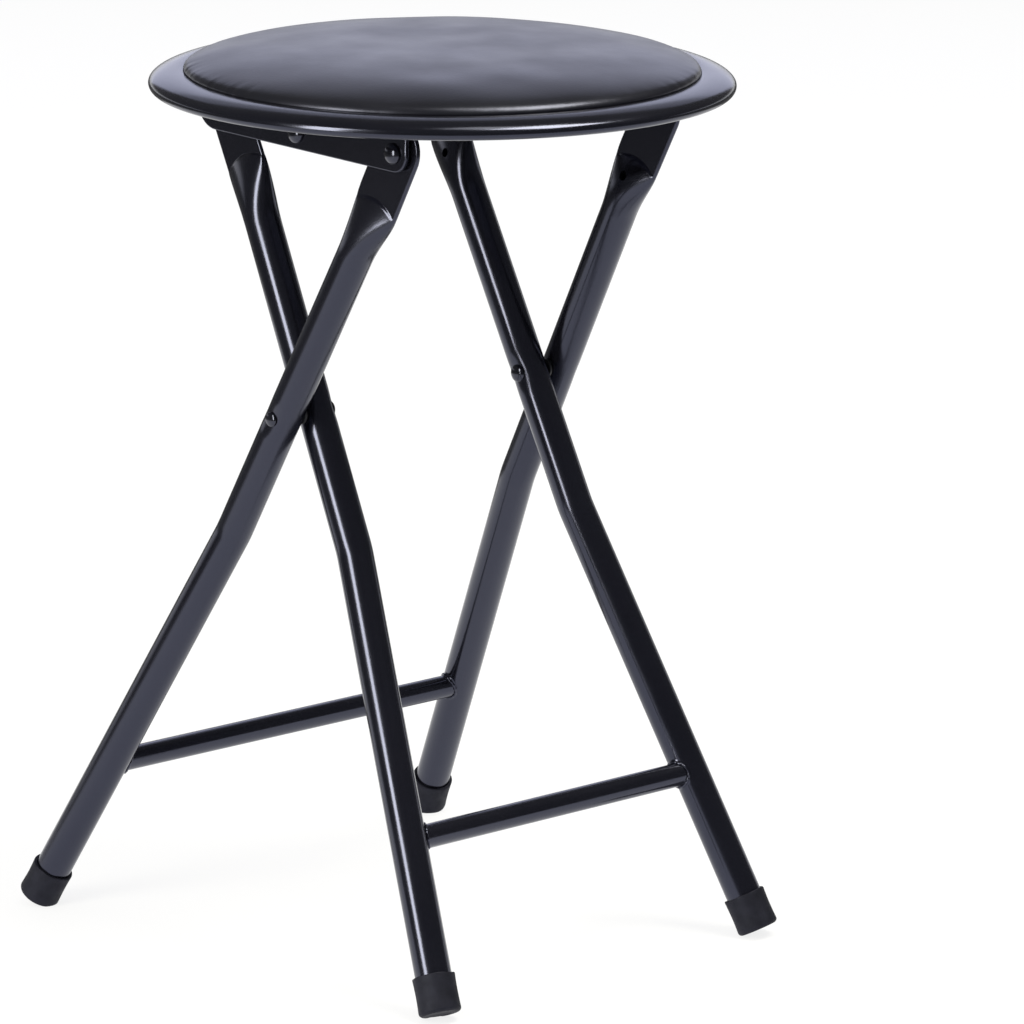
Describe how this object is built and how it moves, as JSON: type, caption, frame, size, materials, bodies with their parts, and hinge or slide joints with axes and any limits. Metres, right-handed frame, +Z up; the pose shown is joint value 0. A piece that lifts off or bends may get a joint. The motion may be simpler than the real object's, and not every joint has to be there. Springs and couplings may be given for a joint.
{
  "type": "folding stool",
  "caption": "Round padded folding stool on two crossed tubular steel leg frames, with a seat that tips up flat against the folded legs.",
  "frame": {"origin": "on the floor, at the middle of the open stool's bounding box", "axes": "+X towards the side of the seat that the outer frame carries, +Y to the stool's left, +Z up"},
  "size_m": [0.3288, 0.305, 0.4748],
  "materials": {
    "powder_coat": "satin black powder coat",
    "rivet": "glossy black",
    "rubber": "matt dark grey",
    "vinyl": "fine-grained black vinyl",
    "foam": "open-cell foam",
    "plywood": "raw plywood",
    "nylon": "moulded",
    "zinc": "zinc plated"
  },
  "bodies": {
    "outer_frame": {"outer_leg_left": "powder_coat", "outer_leg_right": "powder_coat", "outer_crossbar": "powder_coat", "outer_foot_cap_left": "rubber", "outer_foot_cap_right": "rubber", "crossing_rivet_left": "rivet", "crossing_rivet_right": "rivet", "crossing_spacer_left": "nylon", "crossing_spacer_right": "nylon"},
    "inner_frame": {"inner_leg_left": "powder_coat", "inner_leg_right": "powder_coat", "inner_crossbar": "powder_coat", "inner_foot_cap_left": "rubber", "inner_foot_cap_right": "rubber", "inner_pivot_stud_left": "rivet", "inner_pivot_stud_right": "rivet"},
    "seat": {"seat_pan": "powder_coat", "seat_cover": "vinyl", "seat_foam": "foam", "seat_board": "plywood", "seat_bracket_left": "powder_coat", "seat_bracket_right": "powder_coat", "seat_screw_front_left": "zinc", "seat_screw_front_right": "zinc", "seat_screw_back_left": "zinc", "seat_screw_back_right": "zinc", "seat_pivot_rivet_left": "rivet", "seat_pivot_rivet_right": "rivet", "pivot_washer_left": "nylon", "pivot_washer_right": "nylon", "link_rivet_left": "rivet", "link_rivet_right": "rivet", "link_sleeve_left": "zinc", "link_sleeve_right": "zinc"},
    "link_left": {"seat_link_left": "powder_coat", "link_stud_left": "rivet"},
    "link_right": {"seat_link_right": "powder_coat", "link_stud_right": "rivet"}
  },
  "joints": [
    {"name": "fold", "type": "hinge", "parent": "outer_frame", "child": "inner_frame", "pos_m": [-0.00118, 0, 0.2885], "axis": [0, 1, 0], "range_deg": [0, 48.45]},
    {"name": "seat_tilt", "type": "hinge", "parent": "outer_frame", "child": "seat", "pos_m": [0.08193, 0, 0.43853], "axis": [0, 1, 0], "range_deg": [0, 119.45]},
    {"name": "link_swing_left", "type": "hinge", "parent": "seat", "child": "link_left", "pos_m": [0.00713, 0, 0.43853], "axis": [0, 1, 0], "range_deg": [-165.93, 0]},
    {"name": "link_swing_right", "type": "hinge", "parent": "seat", "child": "link_right", "pos_m": [0.00713, 0, 0.43853], "axis": [0, 1, 0], "range_deg": [-165.93, 0]}
  ],
  "couplings": [
    {"joint": "seat_tilt", "follows": "fold", "ratio": 2.4654},
    {"joint": "link_swing_left", "follows": "fold", "ratio": -3.4247},
    {"joint": "link_swing_right", "follows": "fold", "ratio": -3.4247}
  ]
}
